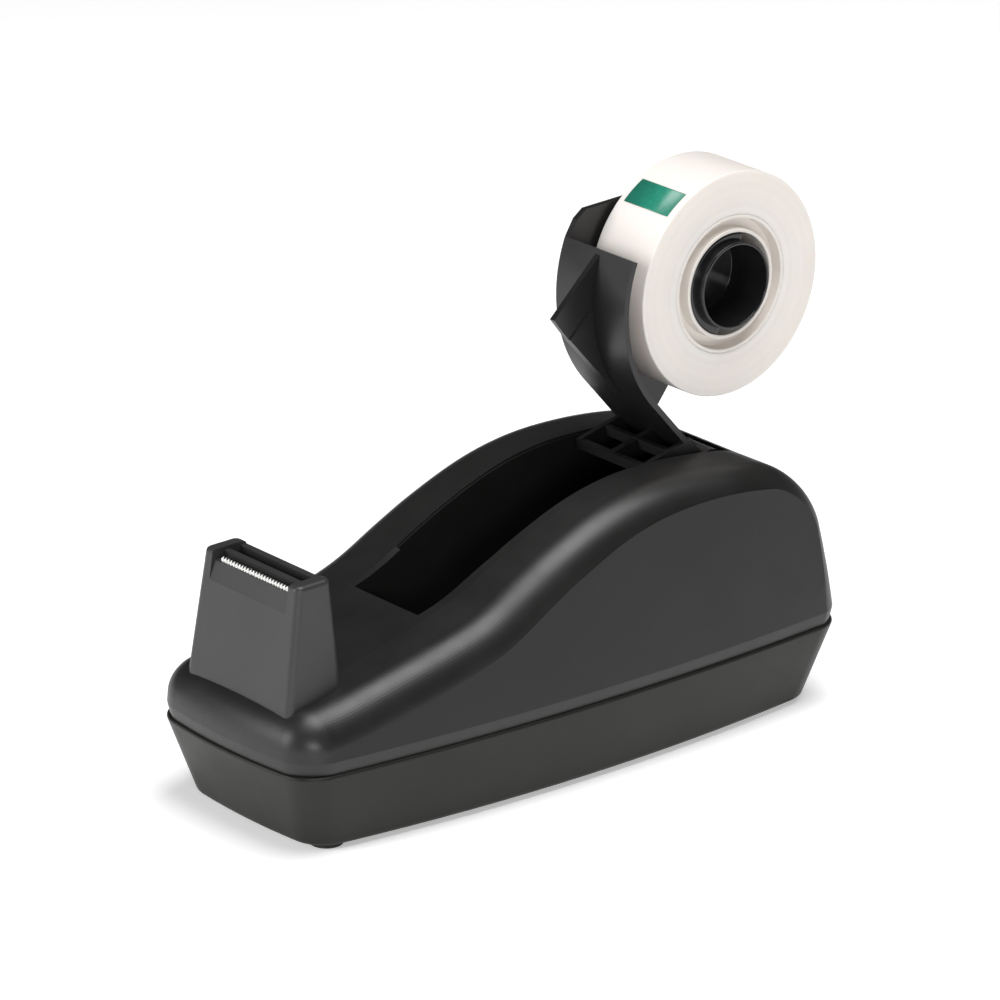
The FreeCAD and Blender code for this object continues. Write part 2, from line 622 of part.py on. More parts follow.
# ---------------------------------------------------------------- arm and hinge
def make_hinge():
    node("hinge_pin", cylinder("hinge_pin", "Sizes.pin_radius", "2 * Sizes.pin_half", "Sizes.hinge_x",
                               "-Sizes.pin_half", "Sizes.hinge_z", "y"))
    rings = []
    outside = "Sizes.well_wide + Sizes.well_wall"
    for name, low_y in (("left", f"-({outside}) - Sizes.clip_thick"), ("right", outside)):
        disc = cylinder(f"clip_disc_{name}", "Sizes.clip_radius", "Sizes.clip_thick", "Sizes.hinge_x",
                        low_y, "Sizes.hinge_z", "y")
        hole = cylinder(f"clip_hole_{name}", "Sizes.pin_radius", "Sizes.clip_thick", "Sizes.hinge_x",
                        low_y, "Sizes.hinge_z", "y")
        rings.append(cut(f"clip_{name}", disc, hole))
    node("pin_clips", compound("pin_clips", rings))


def on_roll(radius, degrees):
    """Point (x, z) at a radius and angle about the roll's axis."""
    angle = math.radians(degrees)
    return D["roll_x"] + radius * math.cos(angle), D["roll_z"] + radius * math.sin(angle)


def slab_y(outline, y_low, y_high):
    """Solid with a closed wire of edges made in the plane y = 0, moved to y_low and extruded."""
    face = Part.Face(Part.Wire(outline))
    face.translate(Vector(0, y_low, 0))
    return face.extrude(Vector(0, y_high - y_low, 0))


def xz(point):
    return Vector(point[0], 0, point[1])


def chain_xz(start, steps):
    """Closed chain of lines (one point) and arcs (via point, end point) in XZ."""
    edges = []
    here = xz(start)
    for step in steps:
        target = xz(step[-1])
        edges.append(line(here, target) if len(step) == 1 else arc(here, xz(step[0]), target))
        here = target
    return edges


def make_roll_arm():
    """Cradle band, strap, far side plate, two ribs, rungs and hinge barrel in one moulding."""
    inner, outer = D["cradle_inner"], D["cradle_outer"]
    top, low = D["cradle_top_angle"], D["cradle_low_angle"]
    middle = (top + low) / 2
    hinge = (D["hinge_x"], D["hinge_z"])
    tangent = math.radians(low + 90)

    def strap_end(radius):
        x, z = on_roll(radius, low)
        return x + D["strap_run"] * math.cos(tangent), z + D["strap_run"] * math.sin(tangent)

    band = slab_y(chain_xz(on_roll(inner, top), [
        (on_roll(inner, middle), on_roll(inner, low)), (strap_end(inner),), (strap_end(outer),),
        (on_roll(outer, low),), (on_roll(outer, middle), on_roll(outer, top)), (on_roll(inner, top),)]),
        -D["arm_half"], D["arm_half"])

    plate_high = D["roll_z"] + D["plate_top"]
    far = D["arm_half"]
    near = far - D["plate_thick"]
    tip = on_roll(outer, top)
    low_out = on_roll(outer, low)
    plate = slab_y(chain_xz(tip, [
        (on_roll(outer, middle), low_out), (strap_end(outer),), ((59.4, 66.4),), ((75.0, 86.0),),
        (on_roll(20.0, -10.0), on_roll(20.0, 35.0)), ((70.0, plate_high),), ((37.0, plate_high - 0.8),),
        ((34.2, plate_high - 2.8),), (tip,)]), near, far)
    boss = Part.makeCylinder(D["plate_boss_radius"], near - D["boss_y"],
                             Vector(D["roll_x"], D["boss_y"], D["roll_z"]), Vector(0, 1, 0))

    thin, thick = D["rib_thick"] / 2, D["second_rib_thick"] / 2
    rib_one = slab_y(chain_xz((31.8, 116.2), [((17.1, 102.5),), ((20.2, 98.5),), ((21.8, 96.6),),
                                              ((30.6, 98.0),), ((33.2, 112.0),), ((31.8, 116.2),)]),
                     -thin, thin)
    rib_two = slab_y(chain_xz((30.2, 104.5), [((21.8, 96.6),), ((31.3, 85.8),), ((36.0, 79.8),),
                                              ((38.6, 80.6),), ((33.2, 88.0),), ((30.2, 104.5),)]),
                     -thick, thick)
    rungs = []
    half, tall = D["rung_thick"] / 2, D["rung_height"] / 2
    for x, z in ((44.3, 65.2), (36.3, 63.4)):
        rungs.append(Part.makeBox(2 * half, 2 * D["arm_half"], 2 * tall,
                                  Vector(x - half, -D["arm_half"], z - tall)))
    ladder = prism_y([(35.8, 62.2), (35.8, 64.6), (52.0, 68.0), (56.0, 61.0), (50.0, 61.6)], 0.9)
    ends = [slab_y(chain_xz((35.5, 62.2), [((35.5, 64.6),), ((50.8, 68.0),), ((55.0, 62.0),),
                                          ((35.5, 62.2),)]), s, s + 1.4)
            for s in (-D["arm_half"], D["arm_half"] - 1.4)]
    barrel = Part.makeCylinder(D["barrel_radius"], 2 * D["arm_half"],
                               Vector(hinge[0], -D["arm_half"], hinge[1]), Vector(0, 1, 0))
    bore = Part.makeCylinder(D["pin_radius"] + D["pin_clearance"], 2 * D["arm_half"] + 2,
                             Vector(hinge[0], -D["arm_half"] - 1, hinge[1]), Vector(0, 1, 0))
    socket = Part.makeCylinder(D["axle_radius"], 20.0, Vector(D["roll_x"], 0, D["roll_z"]), Vector(0, 1, 0))
    arm = band
    for piece in [plate, boss, rib_one, rib_two, ladder, barrel] + rungs + ends:
        arm = arm.fuse(piece)
    return shape_node("roll_arm", arm.cut(bore).cut(socket).removeSplitter())


# ---------------------------------------------------------------- roll, hub and axle
def make_axle():
    """Stepped axle pressed in the arm's plate, with its washer and retaining screw."""
    far = ("arm_half", 0.0)
    near_end = ("hub_web_y", -0.6)
    revolved("hub_axle", [(near_end, "hole_radius"), (near_end, "axle_radius"), (far, "axle_radius"),
                          (far, "hole_radius")])
    node("hub_axle", DOC.getObject("hub_axle"))
    face = ("hub_web_y", D["hub_web"] + D["washer_gap"])
    back = ("hub_web_y", D["hub_web"] + D["washer_gap"] + D["washer_thick"])
    bore = ("axle_radius", D["washer_gap"])
    revolved("friction_washer", [(face, bore), (face, "washer_radius"), (back, "washer_radius"),
                                 (back, bore)])
    node("friction_washer", DOC.getObject("friction_washer"))


def make_hub():
    """Spool hub: a cup on the axle, with one long and two short grips for the core."""
    near, far = ("hub_near_y", 0.0), ("hub_far_y", 0.0)
    web, web_end = ("hub_web_y", 0.0), ("hub_web_y", D["hub_web"])
    bore = ("axle_radius", D["axle_clearance"])
    tube = revolved("HubTube", [(near, "hub_cup"), (near, "hub_tube"), (far, "hub_tube"),
                                (far, "hub_cup"), (web_end, "hub_cup"), (web_end, bore), (web, bore),
                                (web, "hub_cup")])
    DOC.recompute()
    centre = Vector(D["roll_x"], 0, D["roll_z"])
    along = Vector(0, 1, 0)

    def grip(end_deg, sweep_deg, near_y):
        ring = Part.makeCylinder(D["hub_grip"], D["hub_far_y"] - near_y, centre + along * near_y, along,
                                 sweep_deg)
        bore = Part.makeCylinder(D["hub_tube"] - 0.2, 60.0, centre - along * 30.0, along)
        ring = ring.cut(bore)
        ring.rotate(centre, along, 90.0 - end_deg)
        return ring

    hub = tube.Shape
    hub = hub.fuse(grip(D["grip_to"], D["grip_sweep"], D["grip_near_y"]))
    for end in (D["grip_to"] + 60.0 + D["grip_rib_angle"], D["grip_to"] - D["grip_sweep"] - 50.0):
        hub = hub.fuse(grip(end, D["grip_rib_angle"], D["grip_rib_near_y"]))
    return shape_node("roll_hub", hub.removeSplitter())


def make_roll():
    """Moulded core with a recessed near face, the wound tape on it and a plain paper label."""
    half, back = ("tape_half", 0.0), ("-tape_half", 0.0)
    recess, recess_back = ("-tape_half", D["core_recess"]), ("tape_half", -D["core_recess"])
    core = revolved("tape_core", [(back, "core_bore"), (back, "core_ring"), (recess, "core_ring"),
                                  (recess, ("core_radius", -0.9)), (back, ("core_radius", -0.9)),
                                  (back, "core_radius"), (half, "core_radius"),
                                  (half, ("core_radius", -0.9)), (recess_back, ("core_radius", -0.9)),
                                  (recess_back, "core_ring"), (half, "core_ring"), (half, "core_bore")])
    node("tape_core", core)
    tape = revolved("wound_tape", [(back, "core_radius"), (back, "tape_radius"),
                                   (half, "tape_radius"), (half, "core_radius")])
    node("wound_tape", tape)
    along = Vector(0, 1, 0)
    start = Vector(0, -D["label_half"], 0)
    label = Part.makeCylinder(D["tape_radius"] + D["label_thick"], 2 * D["label_half"], start, along,
                              D["label_to"] - D["label_from"])
    label = label.cut(Part.makeCylinder(D["tape_radius"], 2 * D["label_half"], start, along))
    turned = Placement(Vector(D["roll_x"], 0, D["roll_z"]), Rotation(along, 90.0 - D["label_to"]))
    return shape_node("roll_label", label, turned)


def make_hub_screw():
    near = ("hub_web_y", -2.4)
    seat = ("hub_web_y", -0.6)
    end = ("arm_half", -2.0)
    body = revolved("hub_screw", [(near, ("-hub_cup", 10.05)), (near, "hub_screw_head"),
                                  (seat, "hub_screw_head"), (seat, "screw_radius"),
                                  (end, "screw_radius"), (end, ("-hub_cup", 10.05))])
    node("hub_screw", body)


if __name__ == "__main__":
    make_housing()
    make_base_tray()
    make_feet()
    make_screws()
    make_ballast()
    make_cutter_post()
    make_cutter_blade()
    make_hinge()
    make_roll_arm()
    make_axle()
    make_hub_screw()
    make_hub()
    make_roll()
    DOC.recompute()
    os.makedirs("parts", exist_ok=True)
    for piece in NODES:
        broken = {"Invalid", "Error"} & set(piece.State)
        if broken or piece.Shape.isNull() or not piece.Shape.isValid():
            raise RuntimeError(f"{piece.Label} did not build: {piece.State}")
    for piece in NODES:
        piece.Shape.exportStep(f"parts/{piece.Label}.step")
    print(f"{len(NODES)} nodes written")
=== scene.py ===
import json
import math

import bmesh
import bpy
import numpy as np
from mathutils import Euler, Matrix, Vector


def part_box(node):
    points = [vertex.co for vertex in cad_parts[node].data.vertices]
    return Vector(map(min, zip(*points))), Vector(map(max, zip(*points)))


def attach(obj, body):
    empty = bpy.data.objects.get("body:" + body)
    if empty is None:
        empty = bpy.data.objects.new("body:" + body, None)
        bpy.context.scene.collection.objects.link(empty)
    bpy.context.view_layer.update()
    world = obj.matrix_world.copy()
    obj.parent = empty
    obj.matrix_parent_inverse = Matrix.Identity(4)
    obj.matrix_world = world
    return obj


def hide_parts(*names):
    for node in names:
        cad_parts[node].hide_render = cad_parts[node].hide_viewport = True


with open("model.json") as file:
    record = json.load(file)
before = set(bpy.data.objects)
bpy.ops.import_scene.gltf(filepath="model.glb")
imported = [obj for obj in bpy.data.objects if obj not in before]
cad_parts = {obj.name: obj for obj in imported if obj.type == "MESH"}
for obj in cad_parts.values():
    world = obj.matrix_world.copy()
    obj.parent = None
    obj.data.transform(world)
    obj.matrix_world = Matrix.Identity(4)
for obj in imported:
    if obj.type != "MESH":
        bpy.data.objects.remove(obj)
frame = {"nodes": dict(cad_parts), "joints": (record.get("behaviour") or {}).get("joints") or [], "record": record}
NODES = frame["nodes"]
JOINTS = {j["name"]: j for j in frame["joints"]}
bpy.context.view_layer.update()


# ---------------------------------------------------------------- node helpers
class Tree:
    """A material's node tree with short calls for the few nodes used here."""

    def __init__(self, name):
        self.material = bpy.data.materials.new(name)
        self.material.use_nodes = True
        self.nodes = self.material.node_tree.nodes
        self.links = self.material.node_tree.links
        self.shader = self.nodes["Principled BSDF"]

    def add(self, kind, **values):
        node = self.nodes.new(kind)
        for key, value in values.items():
            setattr(node, key, value)
        return node

    def link(self, source, target):
        self.links.new(source, target)

    def colour(self, source):
        self.link(source, self.shader.inputs["Base Color"])

    def rough(self, source):
        self.link(source, self.shader.inputs["Roughness"])

    def coords(self):
        return self.add("ShaderNodeTexCoord").outputs["Object"]

    def noise(self, vector, scale, detail=3.0, roughness=0.5):
        node = self.add("ShaderNodeTexNoise")
        node.inputs["Scale"].default_value = scale
        node.inputs["Detail"].default_value = detail
        node.inputs["Roughness"].default_value = roughness
        self.link(vector, node.inputs["Vector"])
        return node.outputs["Fac"]

    def lines(self, value, scale, detail):
        """Noise along one number only, such as a radius."""
        node = self.add("ShaderNodeTexNoise", noise_dimensions="1D")
        node.inputs["Scale"].default_value = scale
        node.inputs["Detail"].default_value = detail
        self.link(value, node.inputs["W"])
        return node.outputs["Fac"]

    def spread(self, value, low, high, start=0.3, end=0.7):
        """A noise value between start and end, stretched to run from low to high."""
        node = self.add("ShaderNodeMapRange")
        for key, number in (("From Min", start), ("From Max", end), ("To Min", low), ("To Max", high)):
            node.inputs[key].default_value = number
        self.link(value, node.inputs["Value"])
        return node.outputs["Result"]

    def mix(self, value, low, high):
        """Colour between two linear RGB colours."""
        node = self.add("ShaderNodeMix", data_type="RGBA")
        node.inputs["A"].default_value = (*low, 1.0)
        node.inputs["B"].default_value = (*high, 1.0)
        self.link(value, node.inputs["Factor"])
        return node.outputs["Result"]

    def math(self, operation, a, b=None):
        node = self.add("ShaderNodeMath", operation=operation)
        for socket, value in zip(node.inputs, (a, b)):
            if value is None:
                continue
            if isinstance(value, (int, float)):
                socket.default_value = value
            else:
                self.link(value, socket)
        return node.outputs["Value"]

    def bump(self, height, strength, distance):
        node = self.add("ShaderNodeBump")
        node.inputs["Strength"].default_value = strength
        node.inputs["Distance"].default_value = distance
        self.link(height, node.inputs["Height"])
        self.link(node.outputs["Normal"], self.shader.inputs["Normal"])

    def set(self, **values):
        """Constants of the shader, with the sockets' names written with underscores."""
        for key, value in values.items():
            self.shader.inputs[key.replace("_", " ")].default_value = value


def moulded_plastic(name, dark, light, rough, grain_mm=0.35, depth_mm=0.02, strength=0.35,
                    specular=0.5):
    """Spark-eroded satin plastic: fine grain, faint flow marks and slightly uneven gloss."""
    tree = Tree(name)
    at = tree.coords()
    flow = tree.noise(at, scale=28.0, detail=4.0, roughness=0.6)
    grain = tree.noise(at, scale=1000.0 / grain_mm, detail=2.0, roughness=0.6)
    gloss = tree.noise(at, scale=90.0, detail=5.0, roughness=0.7)
    tree.colour(tree.mix(tree.spread(flow, 0.0, 1.0), dark, light))
    tree.rough(tree.spread(gloss, rough - 0.04, rough + 0.05))
    tree.bump(grain, strength, depth_mm / 1000.0)
    tree.set(Specular_IOR_Level=specular)
    return tree.material


def metal(name, low, high, rough, stretch=(1.0, 1.0, 1.0), streak_mm=0.2, strength=0.2):
    """Ground or drawn steel with streaks along one direction."""
    tree = Tree(name)
    mapping = tree.add("ShaderNodeMapping")
    mapping.inputs["Scale"].default_value = stretch
    tree.link(tree.coords(), mapping.inputs["Vector"])
    streaks = tree.noise(mapping.outputs["Vector"], scale=1000.0 / streak_mm, detail=3.0, roughness=0.6)
    tree.colour(tree.mix(tree.spread(streaks, 0.0, 1.0), low, high))
    tree.rough(tree.spread(streaks, rough - 0.06, rough + 0.08))
    tree.bump(streaks, strength, distance=0.00002)
    tree.set(Metallic=1.0)
    return tree.material


def rubber(name, dark, light):
    """Matt rubber with a coarse grain."""
    tree = Tree(name)
    grain = tree.noise(tree.coords(), scale=2200.0, detail=4.0, roughness=0.7)
    tree.colour(tree.mix(tree.spread(grain, 0.0, 1.0), dark, light))
    tree.rough(tree.spread(grain, 0.75, 0.95))
    tree.bump(grain, strength=0.5, distance=0.00005)
    return tree.material


def radius_of(tree, at):
    """Distance from the object's own Y axis."""
    parts = tree.add("ShaderNodeSeparateXYZ")
    tree.link(at, parts.inputs["Vector"])
    squares = [tree.math("MULTIPLY", parts.outputs[k], parts.outputs[k]) for k in ("X", "Z")]
    return tree.math("SQRT", tree.math("ADD", *squares))


def tape_film(name, dark, light):
    """Many turns of frosted film: fine rings on the faces, milky and slightly see-through."""
    tree = Tree(name)
    at = tree.coords()
    radius = radius_of(tree, at)
    turns = tree.lines(radius, scale=4200.0, detail=3.0)
    bands = tree.lines(radius, scale=420.0, detail=2.0)
    clouds = tree.noise(at, scale=60.0, detail=3.0, roughness=0.6)
    tint = tree.math("ADD", tree.math("MULTIPLY", bands, 0.6), tree.math("MULTIPLY", clouds, 0.4))
    tree.colour(tree.mix(tree.spread(tint, 0.0, 1.0), dark, light))
    tree.rough(tree.spread(turns, 0.32, 0.5))
    tree.bump(turns, strength=0.18, distance=0.00004)
    tree.set(Subsurface_Weight=0.35, Subsurface_Scale=0.004, IOR=1.47, Subsurface_Radius=(1.0, 0.75, 0.55))
    return tree.material


def paper_label(name, dark, light):
    """Printed paper under a thin clear coat."""
    tree = Tree(name)
    fibres = tree.noise(tree.coords(), scale=900.0, detail=4.0, roughness=0.7)
    tree.colour(tree.mix(tree.spread(fibres, 0.0, 1.0), dark, light))
    tree.rough(tree.spread(fibres, 0.3, 0.42))
    tree.bump(fibres, strength=0.15, distance=0.00002)
    tree.set(Coat_Weight=0.4, Coat_Roughness=0.25)
    return tree.material


MATERIALS = {
    "casing": moulded_plastic("casing_satin", (0.0085, 0.008, 0.0077), (0.012, 0.0113, 0.011), 0.40),
    # shade: near-black, nearly matt plastic for the well's walls and floor; painted shade for the dark inside of
    # the roll well
    "shade": moulded_plastic("casing_painted_shade", (0.003, 0.003, 0.003), (0.004, 0.004, 0.004), 0.6,
                             specular=0.15),
    "base": moulded_plastic("base_satin", (0.0109, 0.0109, 0.0091), (0.0144, 0.0144, 0.0122), 0.42,
                            specular=0.28),
    "post": moulded_plastic("post_satin", (0.026, 0.0255, 0.0268), (0.033, 0.0325, 0.034), 0.42),
    "arm": moulded_plastic("arm_satin", (0.009, 0.0088, 0.0092), (0.013, 0.0127, 0.0132), 0.34),
    "foot": rubber("foot_rubber", (0.012, 0.012, 0.012), (0.03, 0.029, 0.028)),
    "zinc": metal("zinc_plate", (0.55, 0.54, 0.5), (0.66, 0.65, 0.62), 0.32),
    "iron": metal("cast_iron", (0.12, 0.12, 0.12), (0.2, 0.195, 0.19), 0.6, streak_mm=0.8, strength=0.6),
    "blade": metal("blade_steel", (0.6, 0.6, 0.59), (0.8, 0.79, 0.77), 0.25,
                   stretch=(40.0, 40.0, 1.0)),
    "pin": metal("ground_pin", (0.5, 0.5, 0.5), (0.62, 0.62, 0.6), 0.25),
    "nylon": moulded_plastic("nylon", (0.72, 0.71, 0.66), (0.8, 0.79, 0.74), 0.4),
    "hub": moulded_plastic("hub_gloss", (0.010, 0.010, 0.011), (0.013, 0.013, 0.014), 0.18,
                           grain_mm=1.2, strength=0.1),
    "core": moulded_plastic("core_white", (0.76, 0.71, 0.66), (0.82, 0.775, 0.73), 0.35,
                            grain_mm=0.8, strength=0.15),
    "tape": tape_film("wound_film", (0.80, 0.745, 0.70), (0.87, 0.82, 0.78)),
    "label": paper_label("label_green", (0.012, 0.19, 0.125), (0.02, 0.25, 0.165)),
}
MATERIALS_BY_NODE = {"hub_screw": "hub", "hub_axle": "hub"}  # as dark as the cup they sit in
SLOT_OF = {s["node"]: s["material_slot"] for s in frame["record"]["subparts"]}
for node_name, node_object in NODES.items():
    node_object.data.materials.clear()
    node_object.data.materials.append(MATERIALS[MATERIALS_BY_NODE.get(node_name, SLOT_OF[node_name])])


# ---------------------------------------------------------------- mesh helpers
CORNER_SHARE = 0.45


def add_object(name, data):
    thing = bpy.data.objects.new(name, data)
    bpy.context.scene.collection.objects.link(thing)
    return thing


def finish_shape(name, shape):
    """The finished bmesh as an object in the scene."""
    bmesh.ops.recalc_face_normals(shape, faces=shape.faces)
    mesh = bpy.data.meshes.new(name)
    shape.to_mesh(mesh)
    shape.free()
    return add_object(name, mesh)


def join_rows(shape, first, second, count):
    """Quads between two closed rows of vertices."""
    return [shape.faces.new((first[k], first[(k + 1) % count], second[(k + 1) % count], second[k]))
            for k in range(count)]


def rounded(corners, radius, steps=4):
    """Closed (y, r) outline with each corner replaced by a short curve."""
    points = []
    count = len(corners)
    for i, corner in enumerate(corners):
        here = Vector(corner)
        before, after = Vector(corners[i - 1]) - here, Vector(corners[(i + 1) % count]) - here
        reach = min(radius, CORNER_SHARE * before.length, CORNER_SHARE * after.length)
        a, b = here + before.normalized() * reach, here + after.normalized() * reach
        for k in range(steps + 1):
            t = k / steps
            points.append((1 - t) ** 2 * a + 2 * t * (1 - t) * here + t * t * b)
    return points


def turned(name, outline, centre, segments=192, start=0.0, sweep=2 * math.pi):
    """A closed (y, r) outline turned about the Y axis through centre; ends are capped if it stops short."""
    shape = bmesh.new()
    whole = sweep > 2 * math.pi - 1e-6
    rows = segments if whole else segments + 1
    rings = []
    for i in range(rows):
        angle = start + sweep * i / segments
        rings.append([shape.verts.new((r * math.cos(angle), y, r * math.sin(angle))) for y, r in outline])
    for i in range(segments):
        join_rows(shape, rings[i], rings[(i + 1) % rows], len(outline))
    if not whole:
        shape.faces.new(rings[0])
        shape.faces.new(list(reversed(rings[-1])))
    piece = finish_shape(name, shape)
    piece.location = centre
    piece.data.shade_smooth()
    return piece


def dress(piece, slot, body, *stands_for):
    """Gives a new piece its material, its body and the CAD nodes it stands for."""
    piece.data.materials.clear()
    piece.data.materials.append(MATERIALS[slot])
    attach(piece, body)
    if stands_for:
        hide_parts(*stands_for)
    return piece


# ---------------------------------------------------------------- camera, floor and light
CAMERA_PLACE, CAMERA_DEGREES = (-0.92342, -1.08506, 0.62119), (68.55, 0.0, -40.43)
SENSOR_MM, LENS_MM = 36.0, 233.42
LIGHTS = [
    # name, place, target, size, power
    ("overhead", (0.1, -0.2, 1.25), (0.0, 0.0, 0.05), (0.9, 0.7), 15.0),
    ("back left", (-1.4, 0.5, 0.55), (0.0, 0.0, 0.05), (0.8, 0.8), 13.0),
    ("front left", (-0.9, -1.4, 0.5), (0.0, 0.0, 0.08), (0.6, 0.4), 8.0),
]
FLOOR_REACH, FLOOR_GLOW, SKY_LIGHT = 6.0, 0.36, 0.06


def add_camera():
    data = bpy.data.cameras.new("camera")
    camera = add_object("camera", data)
    camera.location = CAMERA_PLACE
    camera.rotation_euler = Euler([math.radians(a) for a in CAMERA_DEGREES])
    data.sensor_width, data.lens = SENSOR_MM, LENS_MM
    data.clip_start, data.clip_end = 0.05, 20.0
    bpy.context.scene.camera = camera


def area_light(name, place, target, size, power):
    data = bpy.data.lights.new(name, "AREA")
    data.shape = "RECTANGLE"
    data.size, data.size_y = size
    data.energy = power
    lamp = add_object(name, data)
    lamp.location = place
    lamp.rotation_euler = (Vector(target) - Vector(place)).to_track_quat("-Z", "Y").to_euler()


def add_floor():
    """White paper sheet with a faint glow, so that it stays white around the object."""
    mesh = bpy.data.meshes.new("floor")
    corners = ((-1, -1), (1, -1), (1, 1), (-1, 1))
    mesh.from_pydata([(FLOOR_REACH * x, FLOOR_REACH * y, 0.0) for x, y in corners], [], [(0, 1, 2, 3)])
    floor = add_object("floor", mesh)
    tree = Tree("floor_paper")
    fibres = tree.noise(tree.coords(), scale=3.0)
    tree.colour(tree.mix(tree.spread(fibres, 0.0, 1.0), (0.86, 0.86, 0.86), (0.88, 0.88, 0.88)))
    tree.set(Roughness=0.9, Emission_Strength=FLOOR_GLOW, Emission_Color=(1.0, 1.0, 1.0, 1.0))
    mesh.materials.append(tree.material)


def add_world():
    """White behind the object, and a dimmer grey as surrounding light."""
    world = bpy.data.worlds.new("studio")
    world.use_nodes = True
    nodes, links = world.node_tree.nodes, world.node_tree.links
    backdrop, around = nodes["Background"], nodes.new("ShaderNodeBackground")
    backdrop.inputs["Color"].default_value = (1.0, 1.0, 1.0, 1.0)
    around.inputs["Color"].default_value = (1.0, 1.0, 1.0, 1.0)
    around.inputs["Strength"].default_value = SKY_LIGHT
    ray, pick = nodes.new("ShaderNodeLightPath"), nodes.new("ShaderNodeMixShader")
    links.new(ray.outputs["Is Camera Ray"], pick.inputs[0])
    links.new(around.outputs[0], pick.inputs[1])
    links.new(backdrop.outputs[0], pick.inputs[2])
    links.new(pick.outputs[0], nodes["World Output"].inputs["Surface"])
    bpy.context.scene.world = world


# ---------------------------------------------------------------- the roll, its core and its hub
ROLL_CENTRE = Vector(JOINTS["roll_spin"]["pos_m"])
ROLL_LOW, ROLL_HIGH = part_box("wound_tape")
ROLL_HALF, ROLL_RADIUS = (ROLL_HIGH.y - ROLL_LOW.y) / 2, (ROLL_HIGH.x - ROLL_LOW.x) / 2


def make_tape_and_core():
    """The winding and the moulded core inside it, both with slightly rounded edges."""
    half, outer = ROLL_HALF, ROLL_RADIUS
    core_low, core_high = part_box("tape_core")
    joint = (core_high.x - core_low.x) / 2
    bore, ring, wall, recess = 0.0127, 0.01364, joint - 0.0009, half - 0.0032
    winding = rounded([(-half, joint), (-half, outer), (half, outer), (half, joint)], radius=0.0003)
    tape = turned("tape_winding", winding, ROLL_CENTRE, segments=256)
    dress(tape, "tape", "roll", "wound_tape")
    section = rounded([
        (-half, bore), (-half, ring), (-recess, ring), (-recess, wall), (-half, wall), (-half, joint),
        (half, joint), (half, wall), (recess, wall), (recess, ring), (half, ring), (half, bore)],
        radius=0.00025)
    dress(turned("core_moulding", section, ROLL_CENTRE), "core", "roll", "tape_core")


def make_hub():
    """The hub's cup with its web round the axle, one long grip and two short ribs."""
    low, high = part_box("roll_hub")
    near, far = low.y, high.y
    tube, cup, web, web_end, axle = 0.0108, 0.01005, 0.001, 0.0032, 0.00406
    section = rounded([(near, cup), (near, tube), (far, tube), (far, cup), (web_end, cup),
                       (web_end, axle), (web, axle), (web, cup)], radius=0.0003)
    dress(turned("hub_cup", section, ROLL_CENTRE), "hub", "roll", "roll_hub")
    inner, outer = 0.0106, 0.0126
    grips = (("hub_grip", 73.0, 179.0, -0.0095), ("hub_rib_low", 312.0, 14.0, -0.003),
             ("hub_rib_high", 9.0, 14.0, -0.003))
    for name, start, sweep, front in grips:
        outline = rounded([(front, inner), (front, outer), (far, outer), (far, inner)], radius=0.0004)
        grip = turned(name, outline, ROLL_CENTRE, 96, math.radians(start), math.radians(sweep))
        dress(grip, "hub", "roll")


def make_label():
    """Thin plain patch on the outer turn."""
    half, gap, thick = 0.0077, 0.00002, 0.00008
    under, over = ROLL_RADIUS + gap, ROLL_RADIUS + gap + thick
    outline = [(-half, under), (-half, over), (half, over), (half, under)]
    label = turned("label_patch", outline, ROLL_CENTRE, 32, math.radians(117.4), math.radians(15.0))
    dress(label, "label", "roll", "roll_label")


def make_blade():
    """Steel strip whose teeth are ground back on their front."""
    low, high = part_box("cutter_blade")
    teeth, depth, ground, ground_from = 24, 0.0007, 0.00035, 0.00154
    pitch = (high.y - low.y) / teeth
    shape = bmesh.new()
    rows = []
    for i in range(2 * teeth + 1):
        y = low.y + i * pitch / 2
        tip = i % 2 == 1
        top = high.z if tip else high.z - depth
        lean = ground if tip else 0.0
        rows.append([shape.verts.new(p) for p in (
            (low.x, y, low.z), (low.x, y, high.z - ground_from), (low.x + lean, y, top),
            (high.x, y, top), (high.x, y, low.z))])
    for first, second in zip(rows, rows[1:]):
        join_rows(shape, first, second, len(first))
    shape.faces.new(rows[0])
    shape.faces.new(list(reversed(rows[-1])))
    dress(finish_shape("blade_strip", shape), "blade", "casing", "cutter_blade")


# ---------------------------------------------------------------- the casing's smooth outer skin, in mm
# lower edge: its height, its ends, its widest place and the arcs of its sides and ends
EDGE_Z = 24.3
FRONT_X, REAR_X, HALF_WIDTH, WIDEST_X = -83.2, 83.0, 37.3, 33.0
SIDE_ARC, FRONT_ARC, REAR_ARC, SIDE_DRAFT = 694.0, 161.0, 206.0, 0.19
# top profile, front to rear: kind, length or radius, heading at the end in degrees
TOP_PROFILE = [
    ("line", 1.5, None), ("arc", 9.3, 6.0), ("arc", 60.0, 14.2), ("line", 36.0, None),
    ("arc", 70.0, 32.0), ("arc", 79.0, 0.0), ("arc", 150.0, -11.0), ("arc", 22.0, -76.0)]
# sampling of the profile, and the spacing of the skin's rows at the front, middle and rear
PROFILE_STEP, REAR_SAMPLES = 0.1, 100
FRONT_BAND, FRONT_STEP, MIDDLE_STEP, REAR_BAND, REAR_STEP = 18.0, 0.75, 1.5, 32.0, 0.8
# well: corners and half widths
WELL_FRONT_X, WELL_STEP_X, WELL_TAPER_X, WELL_REAR_X = -34.07, -20.0, -12.0, 62.5
WELL_NARROW, WELL_WIDE, WELL_LOW_Z, WELL_SEARCH_Z = 11.7, 13.3, 3.5, 35.0
# shoulder arc: its radius, and how far it turns along the casing
SHOULDER = 9.2
SHOULDER_X = [-84.0, -45.0, -20.0, 0.0, 22.0, 45.0, 62.0, 74.0, 79.0, 83.0]
SHOULDER_DEGREES = [80, 76, 71, 70, 65, 58, 58, 62, 66, 72]
